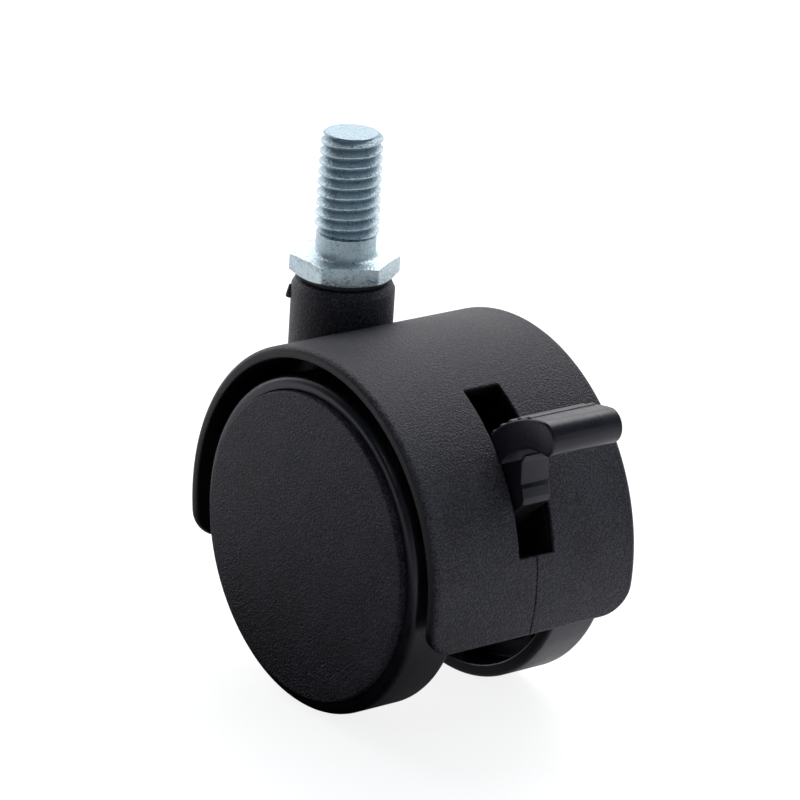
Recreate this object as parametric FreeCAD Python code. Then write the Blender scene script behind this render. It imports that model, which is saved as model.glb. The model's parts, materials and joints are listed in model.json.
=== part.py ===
"""Twin-wheel hooded caster with a threaded stem and a brake pedal, as separate parts.

Frame: origin on the stem axis at the top of the hex flange (the face that seats against the
furniture), +Z up along the threaded stem, +X towards the brake pedal, +Y along the axle.
Every length is in millimetres. Sub-parts are drawn about the wheel centre, where the axle axis
crosses the middle plane, and are moved into the frame when they are exported.
"""
import math
import os

import FreeCAD
import Part
from FreeCAD import Placement, Rotation, Vector

# ---------------------------------------------------------------- layout
trail = 15.0                  # stem axis to axle axis, horizontally
seat_height = 28.95           # axle axis to the top of the hex flange

# ---------------------------------------------------------------- wheels
wheel_radius = 20.0
wheel_outer_y = 14.8          # outer face of the tread, from the middle plane
wheel_inner_y = 7.5           # inner edge of the tread
rim_inner_radius = 18.45
web_inner_y = 11.7
web_outer_y = 13.1
hub_radius = 4.8
hub_inner_y = 7.85
brake_ring_inner_radius = 14.87
brake_ring_outer_radius = 16.1
brake_ring_inner_y = 8.1
rib_thickness = 1.1
rib_count = 8
rib_inner_y = 10.9
rim_rib_inner_y = 9.4
tread_shoulder = 0.9
tread_inner_round = 0.5
axle_clearance = 0.06

# ---------------------------------------------------------------- wheel covers
cover_radius = 18.35
cover_outer_y = 15.6
cover_inner_y = 14.25
cover_crown = 0.4             # height of the domed face above its rim
cover_flat_radius = 1.0       # flat spot at the top of the dome
cover_edge_round = 0.4
cover_skirt_inner_radius = 17.3
cover_skirt_inner_y = 13.15

# ---------------------------------------------------------------- axle
axle_radius = 2.5
axle_half_length = 13.95
axle_end_chamfer = 0.4
push_nut_groove_y = 13.35
push_nut_groove_depth = 0.15
push_nut_radius = 4.7
push_nut_thickness = 0.4
push_nut_dish = 0.35
push_nut_teeth = 6
hub_washer_radius = 4.6
hub_washer_thickness = 0.5

# ---------------------------------------------------------------- housing
hood_centre_x = 0.25
hood_centre_z = 0.0
hood_outer_radius = 23.6
hood_wall = 1.45
hood_half_width = 14.85
hood_back_angle = -14.9       # degrees above +X, measured about the hood centre
hood_front_angle = 197.4
hood_corner_radius = 3.8
hood_edge_round = 0.7
boss_radius = 6.15
boss_rim_z = 25.05
boss_top_radius = 5.7
boss_top_z = 25.9
boss_bottom_z = 4.2
socket_clearance = 0.05
web_wall_inner_y = 2.425      # the two web walls stand either side of the brake lever
web_wall_outer_y = 4.4
web_bottom_z = -5.2
axle_boss_radius = 4.5
axle_boss_half_width = 7.2
axle_hole_clearance = 0.01
slot_width = 5.1
slot_low_angle = 10.2
slot_high_angle = 61.7
parting_line_width = 0.25
parting_line_depth = 0.2
gate_nib_low_radius = 0.65
gate_nib_high_radius = 0.25
gate_nib_angle = 232.0
gate_nib_low_z = 23.2
gate_nib_height = 1.6
boss_foot_chamfer = 0.6
hood_overlap = 0.4            # how far the web walls run into the hood
cross_wall_front_x = -9.0
cross_wall_back_x = -6.6

# ---------------------------------------------------------------- stem
stem_radius = 3.88            # M8
thread_pitch = 1.25
thread_depth = 0.68
thread_low_z = 3.0
stem_length = 15.0
stem_tip_chamfer = 0.7
collar_radius = 3.6
collar_fillet = 0.7
hex_across_flats = 11.5
hex_thickness = 2.35
hex_corner_radius = 6.58
hex_corner_angle = 59.0
hex_bottom_chamfer = 0.4
hex_top_chamfer = 0.1
shank_radius = 3.5
shank_bottom_z = 5.6          # above the axle axis
ring_groove_z = 8.6
ring_groove_height = 1.2
ring_groove_radius = 2.9
snap_ring_radius = 3.95
snap_ring_height = 0.9
snap_ring_gap = 1.6
socket_groove_radius = 4.25
socket_groove_height = 1.6
thrust_washer_thickness = 0.6
thrust_washer_radius = 5.2

# ---------------------------------------------------------------- brake
pivot_x = 9.0
pivot_z = 0.0
pivot_pin_radius = 1.25
lever_hub_radius = 3.0
lever_hub_half_width = 2.36
lever_half_width = 2.0
brake_rod_radius = 1.5
brake_rod_half_length = 10.4
brake_rod_x = 0.87            # in the pose that is drawn, part way through its travel
brake_rod_z = 10.54
brake_eye_radius = 2.9
brake_down_travel = 18.0      # degrees from the drawn pose to the locked pose
brake_up_travel = 21.0        # degrees from the drawn pose to the released pose
pedal_half_width = 5.1
pedal_end_round = 0.7
grip_rib_count = 5            # low ribs across the root half of the pedal's top face
grip_rib_first_angle = 135.5
grip_rib_pitch_angle = 7.1
grip_rib_radius = 0.45
grip_rib_height = 0.22
grip_rib_half_length = 4.75
window_clearance = 0.4


def vec(x, z, y=0.0):
    """A point given by its side-view coordinates."""
    return Vector(x, y, z)


def polar(radius, angle, centre_x=0.0, centre_z=0.0):
    """Side-view point at an angle above +X."""
    turn = math.radians(angle)
    return centre_x + radius * math.cos(turn), centre_z + radius * math.sin(turn)


def rod(radius, y_low, y_high, x=0.0, z=0.0):
    """Solid cylinder along the axle direction."""
    return Part.makeCylinder(radius, y_high - y_low, vec(x, z, y_low), Vector(0, 1, 0))


def tube(outer, inner, y_low, y_high, x=0.0, z=0.0):
    return rod(outer, y_low, y_high, x, z).cut(rod(inner, y_low - 1, y_high + 1, x, z))


def extrude_side_view(points, y_low, y_high):
    """Prism from a closed side-view polygon."""
    corners = [vec(x, z, y_low) for x, z in points]
    wire = Part.makePolygon(corners + [corners[0]])
    return Part.Face(wire).extrude(Vector(0, y_high - y_low, 0))


def revolve_about_axle(points):
    """Turned solid from a closed polygon of (radius, y) points."""
    corners = [Vector(r, y, 0) for r, y in points]
    wire = Part.makePolygon(corners + [corners[0]])
    return Part.Face(wire).revolve(Vector(0, 0, 0), Vector(0, 1, 0), 360)


def revolve_about_stem(points):
    """Turned solid about the stem axis from a closed polygon of (radius, z) points."""
    corners = [Vector(r, 0, z) for r, z in points]
    wire = Part.makePolygon(corners + [corners[0]])
    return Part.Face(wire).revolve(Vector(0, 0, 0), Vector(0, 0, 1), 360)


def corner_arc(radius, y, edge_round, start, steps=4):
    """Points that round an outer corner of a turned profile, over 90 degrees from start."""
    centre_r = radius - edge_round
    centre_y = y - edge_round if start >= 0 else y + edge_round
    turns = [math.radians(start + 90.0 * step / steps) for step in range(steps + 1)]
    return [(centre_r + edge_round * math.cos(turn), centre_y + edge_round * math.sin(turn))
            for turn in turns]


def mirror_left(shape):
    return shape.mirror(Vector(0, 0, 0), Vector(0, 1, 0))


def fuse_all(shapes):
    first = shapes[0]
    return first.multiFuse(shapes[1:]).removeSplitter()


# ================================================================ stem
def thread_groove():
    """One turn of the thread groove, starting at z = 0."""
    helix = Part.makeHelix(thread_pitch, thread_pitch, stem_radius)
    half_mouth = 0.42 * thread_pitch
    half_root = 0.08 * thread_pitch
    overshoot = 0.12
    half_out = half_mouth + (half_mouth - half_root) * overshoot / thread_depth
    out = stem_radius + overshoot
    root = stem_radius - thread_depth
    corners = [
        Vector(out, 0, -half_out), Vector(root, 0, -half_root),
        Vector(root, 0, half_root), Vector(out, 0, half_out),
    ]
    profile = Part.makePolygon(corners + [corners[0]])
    return Part.Wire(helix).makePipeShell([profile], True, True)


def stem_thread():
    """Threaded length of the stem with its tip chamfer, axis on Z, seat at z = 0."""
    height = stem_length - thread_low_z
    threaded = Part.makeCylinder(stem_radius, height, Vector(0, 0, thread_low_z))
    one_turn = thread_groove()
    turns = int(height / thread_pitch) + 2
    for index in range(turns):
        groove = one_turn.copy()
        groove.translate(Vector(0, 0, thread_low_z + (index - 0.5) * thread_pitch))
        threaded = threaded.cut(groove)
    cone_low = stem_length - stem_tip_chamfer - 1.0
    cone = Part.makeCone(
        stem_radius + 1.0, stem_radius - stem_tip_chamfer, 1.0 + stem_tip_chamfer,
        Vector(0, 0, cone_low))
    below = Part.makeCylinder(stem_radius + 1.0, cone_low)
    return threaded.common(below.fuse(cone))


def sectors_of(shape, count, reach, z_low, z_high):
    """Equal sectors of a turned shape, so that each crest of its thread is a short face."""
    step = 360.0 / count
    sectors = []
    for index in range(count):
        wedge = Part.makeCylinder(
            reach, z_high - z_low, Vector(0, 0, z_low), Vector(0, 0, 1), step)
        wedge.rotate(Vector(0, 0, 0), Vector(0, 0, 1), (index + 0.5) * step)
        sectors.append(shape.common(wedge))
    return sectors


def hex_flange():
    """Hexagon with turned chamfers, top face at z = 0."""
    circumradius = hex_across_flats / math.sqrt(3.0)
    corners = []
    for index in range(6):
        turn = math.radians(hex_corner_angle + 60.0 * index)
        corners.append(Vector(
            circumradius * math.cos(turn), circumradius * math.sin(turn), -hex_thickness))
    wire = Part.makePolygon(corners + [corners[0]])
    prism = Part.Face(wire).extrude(Vector(0, 0, hex_thickness))
    flat = hex_across_flats / 2.0
    envelope = revolve_about_stem([
        (0.0, -hex_thickness),
        (flat - 0.15, -hex_thickness),
        (hex_corner_radius, -hex_thickness + hex_bottom_chamfer),
        (hex_corner_radius, -hex_top_chamfer),
        (hex_corner_radius - 1.7 * hex_top_chamfer, 0.0),
        (0.0, 0.0),
    ])
    return prism.common(envelope)


def threaded_stem():
    """Steel stem: thread, plain collar, hex flange and the swivel shank with its ring groove."""
    ring_low = ring_groove_z - seat_height - ring_groove_height / 2.0
    ring_high = ring_low + ring_groove_height
    shank_low = shank_bottom_z - seat_height
    shank = revolve_about_stem([
        (0.0, shank_low),
        (1.4, shank_low),
        (2.7, shank_low + 0.5),
        (shank_radius, shank_low + 1.5),
        (shank_radius, ring_low),
        (ring_groove_radius, ring_low),
        (ring_groove_radius, ring_high),
        (shank_radius, ring_high),
        (shank_radius, -hex_thickness + 0.2),
        (0.0, -hex_thickness + 0.2),
    ])
    collar = revolve_about_stem([
        (0.0, -0.2),
        (collar_radius + collar_fillet, -0.2),
        (collar_radius + collar_fillet, 0.0),
        (collar_radius + 0.45 * collar_fillet, 0.15 * collar_fillet),
        (collar_radius + 0.15 * collar_fillet, 0.45 * collar_fillet),
        (collar_radius, collar_fillet),
        (collar_radius, thread_low_z - 0.35),
        (collar_radius - 0.2, thread_low_z - 0.05),
        (collar_radius - 0.2, thread_low_z + 0.1),
        (0.0, thread_low_z + 0.1),
    ])
    body = shank.fuse(hex_flange()).fuse(collar).removeSplitter()
    sectors = sectors_of(stem_thread(), 12, stem_radius + 1.0, thread_low_z, stem_length)
    stem = body.multiFuse(sectors)
    stem.translate(Vector(-trail, 0, seat_height))
    return stem


def stem_snap_ring():
    """Open spring ring that keeps the shank in its socket."""
    low = ring_groove_z - snap_ring_height / 2.0
    ring = Part.makeCylinder(snap_ring_radius, snap_ring_height, Vector(-trail, 0, low))
    ring = ring.cut(Part.makeCylinder(ring_groove_radius + 0.02, 3, Vector(-trail, 0, low - 1)))
    gap = Part.makeBox(
        snap_ring_radius + 1, snap_ring_gap, 3,
        Vector(-trail - snap_ring_radius - 1, -snap_ring_gap / 2.0, low - 1))
    return ring.cut(gap)


def thrust_washer():
    """Thin nylon washer that the hex flange turns on."""
    low = boss_top_z + 0.02
    outer = Part.makeCylinder(thrust_washer_radius, thrust_washer_thickness, Vector(-trail, 0, low))
    return outer.cut(Part.makeCylinder(shank_radius + 0.08, 3, Vector(-trail, 0, low - 1)))


# ================================================================ housing
def corner_cutter(angle, side, inward):
    """Removes a square corner of the hood, leaving a rounded one.

    angle is the end of the hood, side is +1 or -1 along Y, inward is +1 when the hood lies
    towards larger angles from that end.
    """
    reach = hood_corner_radius
    radius_low = hood_outer_radius - hood_wall - 1.5
    radius_high = hood_outer_radius + 2.0
    box = Part.makeBox(
        radius_high - radius_low, reach + 1.0, reach + 1.0,
        Vector(radius_low, hood_half_width - reach, -1.0))
    keep = Part.makeCylinder(
        reach, radius_high - radius_low + 2,
        Vector(radius_low - 1, hood_half_width - reach, reach), Vector(1, 0, 0))
    cutter = box.cut(keep)
    if inward < 0:
        cutter = cutter.mirror(Vector(0, 0, 0), Vector(0, 0, 1))
    if side < 0:
        cutter = cutter.mirror(Vector(0, 0, 0), Vector(0, 1, 0))
    cutter.rotate(Vector(0, 0, 0), Vector(0, 1, 0), -angle)
    cutter.translate(vec(hood_centre_x, hood_centre_z))
    return cutter


def hood_sector(radius_low, radius_high, angle_low, angle_high, half_width):
    """Part of a tube about the hood centre, between two angles above +X."""
    section = Part.Face(Part.makePolygon([
        Vector(radius_low, -half_width, 0),
        Vector(radius_high, -half_width, 0),
        Vector(radius_high, half_width, 0),
        Vector(radius_low, half_width, 0),
        Vector(radius_low, -half_width, 0),
    ]))
    sector = section.revolve(Vector(0, 0, 0), Vector(0, 1, 0), -(angle_high - angle_low))
    sector.rotate(Vector(0, 0, 0), Vector(0, 1, 0), -angle_low)
    sector.translate(vec(hood_centre_x, hood_centre_z))
    return sector


def hood_shell():
    """Curved guard over both wheels with rounded corners and rounded outer edges."""
    inner = hood_outer_radius - hood_wall
    shell = hood_sector(
        inner, hood_outer_radius, hood_back_angle, hood_front_angle, hood_half_width)
    for side in (-1, 1):
        shell = shell.cut(corner_cutter(hood_back_angle, side, 1))
        shell = shell.cut(corner_cutter(hood_front_angle, side, -1))
    outer_edges = []
    for edge in shell.Edges:
        middle = edge.valueAt((edge.FirstParameter + edge.LastParameter) / 2.0)
        ends = [vertex.Point for vertex in edge.Vertexes] + [middle]
        distances = [
            math.hypot(point.x - hood_centre_x, point.z - hood_centre_z) for point in ends]
        if min(distances) > hood_outer_radius - 0.05:
            outer_edges.append(edge)
    return shell.makeFillet(hood_edge_round, outer_edges)


def web_walls():
    """Two walls under the hood that carry the axle, the pivot pin and the stem boss."""
    inner = hood_outer_radius - hood_wall + hood_overlap
    disc = rod(inner, web_wall_inner_y, web_wall_outer_y, hood_centre_x, hood_centre_z)
    keep = Part.makeBox(60, 20, 60, vec(-30, web_bottom_z, 0))
    wall = disc.common(keep)
    boss = rod(axle_boss_radius, web_wall_inner_y, axle_boss_half_width)
    right = wall.fuse(boss)
    return [right, mirror_left(right)]


def stem_boss():
    """Round post round the swivel shank, chamfered at its top."""
    boss = revolve_about_stem([
        (0.0, boss_bottom_z),
        (boss_radius - boss_foot_chamfer, boss_bottom_z),
        (boss_radius, boss_bottom_z + boss_foot_chamfer),
        (boss_radius, boss_rim_z),
        (boss_top_radius, boss_top_z),
        (0.0, boss_top_z),
    ])
    boss.translate(Vector(-trail, 0, 0))
    return boss


def stem_socket():
    """Bore for the shank with the groove that the snap ring springs into."""
    radius = shank_radius + socket_clearance
    bore = Part.makeCylinder(
        radius, boss_top_z - shank_bottom_z + 1.3, Vector(-trail, 0, shank_bottom_z - 0.3))
    groove_low = ring_groove_z - socket_groove_height / 2.0
    groove = Part.makeCylinder(
        socket_groove_radius, socket_groove_height, Vector(-trail, 0, groove_low))
    return bore.fuse(groove)


def brake_window(y_low, y_high):
    """Curved opening in a web wall for the travel of the brake rod."""
    reach = math.hypot(brake_rod_x - pivot_x, brake_rod_z - pivot_z)
    start = math.degrees(math.atan2(brake_rod_z - pivot_z, brake_rod_x - pivot_x))
    half = brake_rod_radius + window_clearance
    low = start - brake_down_travel
    high = start + brake_up_travel
    section = Part.Face(Part.makePolygon([
        Vector(reach - half, y_low, 0),
        Vector(reach + half, y_low, 0),
        Vector(reach + half, y_high, 0),
        Vector(reach - half, y_high, 0),
        Vector(reach - half, y_low, 0),
    ]))
    window = section.revolve(Vector(0, 0, 0), Vector(0, 1, 0), -(high - low))
    window.rotate(Vector(0, 0, 0), Vector(0, 1, 0), -low)
    window.translate(vec(pivot_x, pivot_z))
    ends = [rod(half, y_low, y_high, *polar(reach, angle, pivot_x, pivot_z))
            for angle in (low, high)]
    return window.fuse(ends[0]).fuse(ends[1])


def parting_groove():
    """Fine mould line from the slot down to the hood's lower edge."""
    return hood_sector(
        hood_outer_radius - parting_line_depth, hood_outer_radius + 1.0,
        hood_back_angle - 3.0, slot_low_angle + 1.0, parting_line_width / 2.0)


def housing():
    """One-piece nylon housing: hood, stem boss, web walls and axle bosses."""
    inner = hood_outer_radius - hood_wall + hood_overlap
    cross_wall = Part.makeBox(
        cross_wall_back_x - cross_wall_front_x, 2 * web_wall_inner_y + 0.4, 60,
        Vector(cross_wall_front_x, -web_wall_inner_y - 0.2, web_bottom_z + 2.0))
    cross_wall = cross_wall.common(rod(inner, -10, 10, hood_centre_x, hood_centre_z))
    nib_x, nib_y = polar(boss_radius, gate_nib_angle, -trail)
    nib = Part.makeCone(gate_nib_low_radius, gate_nib_high_radius, gate_nib_height,
                        Vector(nib_x, nib_y, gate_nib_low_z))
    body = fuse_all([hood_shell(), stem_boss(), cross_wall, nib] + web_walls())
    slot = hood_sector(
        hood_outer_radius - hood_wall - 3.0, hood_outer_radius + 2.0,
        slot_low_angle, slot_high_angle, slot_width / 2.0)
    cutters = [
        slot,
        stem_socket(),
        parting_groove(),
        rod(axle_radius + axle_hole_clearance, -20, 20),
        rod(pivot_pin_radius, -20, 20, pivot_x, pivot_z),
        brake_window(web_wall_inner_y - 0.5, web_wall_outer_y + 0.5),
        brake_window(-web_wall_outer_y - 0.5, -web_wall_inner_y + 0.5),
    ]
    for cutter in cutters:
        body = body.cut(cutter)
    return body


# ================================================================ axle and wheels
def axle_pin():
    """Steel axle with a shallow groove near each end for the push nuts."""
    end = axle_half_length
    half_groove = push_nut_thickness / 2.0 + 0.1
    points = [(0.0, -end), (axle_radius - axle_end_chamfer, -end),
              (axle_radius, -end + axle_end_chamfer)]
    low = -push_nut_groove_y
    groove = axle_radius - push_nut_groove_depth
    points += [(axle_radius, low - half_groove), (groove, low - half_groove),
               (groove, low + half_groove), (axle_radius, low + half_groove)]
    points += [(r, -y) for r, y in reversed(points)]
    return revolve_about_axle(points)


def right_wheel():
    """Nylon wheel: tread, web, hub, brake ring and ribs, open towards the middle."""
    bore = axle_radius + axle_clearance
    inner_edge = corner_arc(wheel_radius, wheel_inner_y, tread_inner_round, -90.0)
    outer_edge = corner_arc(wheel_radius, wheel_outer_y, tread_shoulder, 0.0)
    tread = revolve_about_axle(
        [(rim_inner_radius, wheel_inner_y)] + inner_edge + outer_edge
        + [(rim_inner_radius, wheel_outer_y)])
    web = tube(rim_inner_radius + 0.2, bore, web_inner_y, web_outer_y)
    hub = tube(hub_radius, bore, hub_inner_y, web_outer_y)
    ring = tube(brake_ring_outer_radius, brake_ring_inner_radius,
                brake_ring_inner_y, web_inner_y + 0.2)
    ribs = []
    for index in range(rib_count):
        inner_rib = Part.makeBox(
            brake_ring_inner_radius - hub_radius + 1.0, web_inner_y - rib_inner_y + 0.2,
            rib_thickness, Vector(hub_radius - 0.4, rib_inner_y, -rib_thickness / 2.0))
        outer_rib = Part.makeBox(
            rim_inner_radius - brake_ring_outer_radius + 0.6,
            web_inner_y - rim_rib_inner_y + 0.2, rib_thickness,
            Vector(brake_ring_outer_radius - 0.3, rim_rib_inner_y, -rib_thickness / 2.0))
        for rib in (inner_rib, outer_rib):
            rib.rotate(Vector(0, 0, 0), Vector(0, 1, 0), 360.0 * index / rib_count)
            ribs.append(rib)
    return fuse_all([tread, web, hub, ring] + ribs)


def right_wheel_cover():
    """Press-in disc with a slightly domed face, closing the outer side of the wheel."""
    corners = [
        (0.0, cover_inner_y),
        (cover_skirt_inner_radius, cover_inner_y),
        (cover_skirt_inner_radius, cover_skirt_inner_y),
        (cover_radius - 0.3, cover_skirt_inner_y),
        (cover_radius, cover_skirt_inner_y + 0.3),
    ] + corner_arc(cover_radius, cover_outer_y, cover_edge_round, 0.0)
    sides = [Vector(r, y, 0) for r, y in corners]
    edge = sides[-1]
    halfway = Vector(edge.x / 2.0, dome_height(edge.x / 2.0, edge.x), 0)
    flat_edge = Vector(cover_flat_radius, dome_height(cover_flat_radius, edge.x), 0)
    dome = Part.Arc(edge, halfway, flat_edge).toShape()
    flat_spot = [flat_edge, Vector(0, flat_edge.y, 0), sides[0]]
    outline = Part.Wire([Part.makePolygon(sides), dome, Part.makePolygon(flat_spot)])
    return Part.Face(outline).revolve(Vector(0, 0, 0), Vector(0, 1, 0), 360)


def dome_height(radius, edge_radius):
    """Y of the domed face at a radius; the dome starts at edge_radius."""
    ball = (edge_radius ** 2 + cover_crown ** 2) / (2.0 * cover_crown)
    return cover_outer_y + cover_crown - ball + math.sqrt(ball ** 2 - radius ** 2)


def right_push_nut():
    """Dished spring nut that grips the groove in the axle and holds the wheel on."""
    low = push_nut_groove_y - push_nut_thickness / 2.0
    grip = axle_radius - push_nut_groove_depth + 0.02
    nut = revolve_about_axle([
        (grip, low),
        (push_nut_radius - 1.0, low),
        (push_nut_radius, low + push_nut_dish),
        (push_nut_radius, low + push_nut_dish + push_nut_thickness),
        (push_nut_radius - 1.0, low + push_nut_thickness),
        (grip, low + push_nut_thickness),
    ])
    for index in range(push_nut_teeth):
        cut = Part.makeBox(1.3, 3, 0.5, Vector(grip - 0.2, low - 1, -0.25))
        cut.rotate(Vector(0, 0, 0), Vector(0, 1, 0), 360.0 * index / push_nut_teeth)
        nut = nut.cut(cut)
    return nut


def right_hub_washer():
    """Steel washer between the housing's axle boss and the wheel hub."""
    low = axle_boss_half_width + 0.02
    return tube(hub_washer_radius, axle_radius + 0.03, low, low + hub_washer_thickness)


# ================================================================ brake
def pedal():
    """Curved cross bar of the brake pedal, with grip ribs on its top face."""
    root_top = vec(19.6, 18.6)
    tip_top = vec(28.9, 23.05)
    tip_low = vec(29.7, 19.15)
    root_low = vec(21.9, 15.75)
    outer = Part.Arc(root_top, vec(23.9, 21.75), tip_top).toShape()
    tip = Part.Arc(tip_top, vec(30.72, 21.3), tip_low).toShape()
    under = Part.Arc(tip_low, vec(25.7, 18.75), root_low).toShape()
    root = Part.makeLine(root_low, root_top)
    face = Part.Face(Part.Wire([outer, tip, under, root]))
    bar = face.extrude(Vector(0, 2 * pedal_half_width, 0))
    bar.translate(Vector(0, -pedal_half_width, 0))
    end_edges = []
    for edge in bar.Edges:
        low = min(vertex.Point.y for vertex in edge.Vertexes)
        high = max(vertex.Point.y for vertex in edge.Vertexes)
        if high - low < 0.01:
            end_edges.append(edge)
    bar = bar.makeFillet(pedal_end_round, end_edges)
    top = outer.Curve
    ribs = []
    for index in range(grip_rib_count):
        turn = math.radians(grip_rib_first_angle - index * grip_rib_pitch_angle)
        depth = top.Radius - grip_rib_radius + grip_rib_height
        rib_x = top.Center.x + depth * math.cos(turn)
        rib_z = top.Center.z + depth * math.sin(turn)
        ribs.append(rod(grip_rib_radius, -grip_rib_half_length, grip_rib_half_length,
                        rib_x, rib_z))
    return fuse_all([bar] + ribs)


def brake_lever():
    """Nylon lever: pedal, leg through the slot, pivot hub and the arm to the brake rod."""
    leg = extrude_side_view([
        (22.5, 16.3), (22.0, 15.5), (22.15, 12.75), (22.5, 12.35), (22.75, 11.2),
        (22.65, 10.4), (22.2, 9.95), (20.1, 8.05), (11.6, -1.5), (8.0, 2.8),
        (14.2, 13.0), (20.2, 18.0),
    ], -lever_half_width, lever_half_width)
    hub = rod(lever_hub_radius, -lever_hub_half_width, lever_hub_half_width, pivot_x, pivot_z)
    eye = rod(brake_eye_radius, -lever_half_width, lever_half_width, brake_rod_x, brake_rod_z)
    along = Vector(brake_rod_x - pivot_x, 0, brake_rod_z - pivot_z).normalize()
    half_arm = 1.7
    side_x, side_z = -along.z * half_arm, along.x * half_arm
    arm = extrude_side_view([
        (pivot_x + side_x, pivot_z + side_z), (brake_rod_x + side_x, brake_rod_z + side_z),
        (brake_rod_x - side_x, brake_rod_z - side_z), (pivot_x - side_x, pivot_z - side_z),
    ], -lever_half_width, lever_half_width)
    lever = fuse_all([pedal(), leg, hub, eye, arm])
    lever = lever.cut(rod(pivot_pin_radius + 0.05, -20, 20, pivot_x, pivot_z))
    return lever.cut(rod(brake_rod_radius + 0.01, -20, 20, brake_rod_x, brake_rod_z))


def brake_pivot_pin():
    """Steel pin pressed through both web walls."""
    return rod(pivot_pin_radius, -web_wall_outer_y, web_wall_outer_y, pivot_x, pivot_z)


def brake_rod():
    """Steel cross rod that jams against the brake ring of both wheels."""
    end = brake_rod_half_length
    bar = revolve_about_axle([
        (0.0, -end), (brake_rod_radius - 0.3, -end), (brake_rod_radius, -end + 0.3),
        (brake_rod_radius, end - 0.3), (brake_rod_radius - 0.3, end), (0.0, end)])
    bar.translate(vec(brake_rod_x, brake_rod_z))
    return bar


# ================================================================ export
def export(name, shape):
    placed = shape.copy()
    placed.Placement = Placement(
        Vector(trail, 0, -seat_height), Rotation()).multiply(placed.Placement)
    placed.exportStep(os.path.join("parts", name + ".step"))
    box = placed.BoundBox
    print("%-20s valid %s solids %d volume %9.2f  x %7.2f %7.2f y %7.2f %7.2f z %7.2f %7.2f" % (
        name, placed.isValid(), len(placed.Solids), placed.Volume,
        box.XMin, box.XMax, box.YMin, box.YMax, box.ZMin, box.ZMax))


os.makedirs("parts", exist_ok=True)
export("threaded_stem", threaded_stem())
export("stem_snap_ring", stem_snap_ring())
export("thrust_washer", thrust_washer())
export("housing", housing())
export("axle_pin", axle_pin())
export("brake_pivot_pin", brake_pivot_pin())
export("brake_rod", brake_rod())
export("brake_lever", brake_lever())
sided = {
    "wheel": right_wheel(),
    "wheel_cover": right_wheel_cover(),
    "push_nut": right_push_nut(),
    "hub_washer": right_hub_washer(),
}
for name, shape in sided.items():
    export("right_" + name, shape)
    export("left_" + name, mirror_left(shape))
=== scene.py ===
"""Looks of the twin-wheel hooded caster with a threaded stem and a brake pedal.

Every mesh is drawn in millimetres about the wheel centre, where the axle axis crosses the middle
plane: +X towards the pedal, +Y along the axle, +Z up. place() then moves it into the row frame
and turns it into metres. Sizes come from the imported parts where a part's box gives them; the
others are the driving dimensions of the part, repeated here. The two that differ from the part say
so; both only shape a rounded edge.
"""
import json
import math

import bmesh
import bpy
from mathutils import Matrix, Vector


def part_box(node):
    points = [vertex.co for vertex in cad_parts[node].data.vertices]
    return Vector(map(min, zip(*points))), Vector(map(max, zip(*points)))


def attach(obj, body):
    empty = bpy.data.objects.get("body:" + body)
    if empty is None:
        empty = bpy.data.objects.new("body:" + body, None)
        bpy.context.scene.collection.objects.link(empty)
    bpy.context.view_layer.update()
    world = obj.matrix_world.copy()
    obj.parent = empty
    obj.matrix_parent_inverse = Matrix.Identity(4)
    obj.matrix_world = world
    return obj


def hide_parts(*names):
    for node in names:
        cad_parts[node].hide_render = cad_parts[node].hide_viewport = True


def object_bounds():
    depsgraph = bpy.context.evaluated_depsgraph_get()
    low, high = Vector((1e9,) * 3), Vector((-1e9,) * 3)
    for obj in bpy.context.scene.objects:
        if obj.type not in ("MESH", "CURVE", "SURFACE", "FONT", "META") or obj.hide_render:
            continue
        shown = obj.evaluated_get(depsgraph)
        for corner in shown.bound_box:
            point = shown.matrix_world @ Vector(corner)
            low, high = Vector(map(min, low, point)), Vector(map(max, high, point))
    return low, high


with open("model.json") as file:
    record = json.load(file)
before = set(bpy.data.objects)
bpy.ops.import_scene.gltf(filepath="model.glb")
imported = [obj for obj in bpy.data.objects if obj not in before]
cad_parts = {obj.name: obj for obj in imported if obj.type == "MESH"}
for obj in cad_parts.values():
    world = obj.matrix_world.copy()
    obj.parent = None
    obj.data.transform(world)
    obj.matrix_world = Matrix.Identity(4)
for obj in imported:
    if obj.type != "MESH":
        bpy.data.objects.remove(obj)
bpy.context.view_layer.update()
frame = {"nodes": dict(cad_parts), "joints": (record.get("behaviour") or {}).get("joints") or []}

MM = 0.001
joint_places = {joint["name"]: joint["pos_m"] for joint in frame["joints"]}
wheel_centre = Vector((joint_places["right_wheel_spin"][0], 0.0,
                       joint_places["right_wheel_spin"][2]))
ROW_FROM_WHEEL = Matrix.Translation(wheel_centre) @ Matrix.Scale(MM, 4)


def box_mm(node):
    """Lowest and highest corner of a CAD node, in millimetres about the wheel centre."""
    low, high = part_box(node)
    return (low - wheel_centre) / MM, (high - wheel_centre) / MM


# ---------------------------------------------------------------- sizes read from the parts
stem_low, stem_high = box_mm("threaded_stem")
wheel_low, wheel_high = box_mm("right_wheel")
cover_low, cover_high = box_mm("right_wheel_cover")
housing_high = box_mm("housing")[1]
washer_low, washer_high = box_mm("thrust_washer")
lever_high = box_mm("brake_lever")[1]

stem_x = -wheel_centre.x / MM
seat_z = -wheel_centre.z / MM
wheel_radius = (wheel_high.z - wheel_low.z) / 2
wheel_inner_y, wheel_outer_y = wheel_low.y, wheel_high.y
cover_radius = (cover_high.z - cover_low.z) / 2
cover_inner_y, cover_outer_y = cover_low.y, cover_high.y
hood_half_width = housing_high.y
boss_top_z = housing_high.z
pedal_half_width = lever_high.y
floor_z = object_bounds()[0].z

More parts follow.
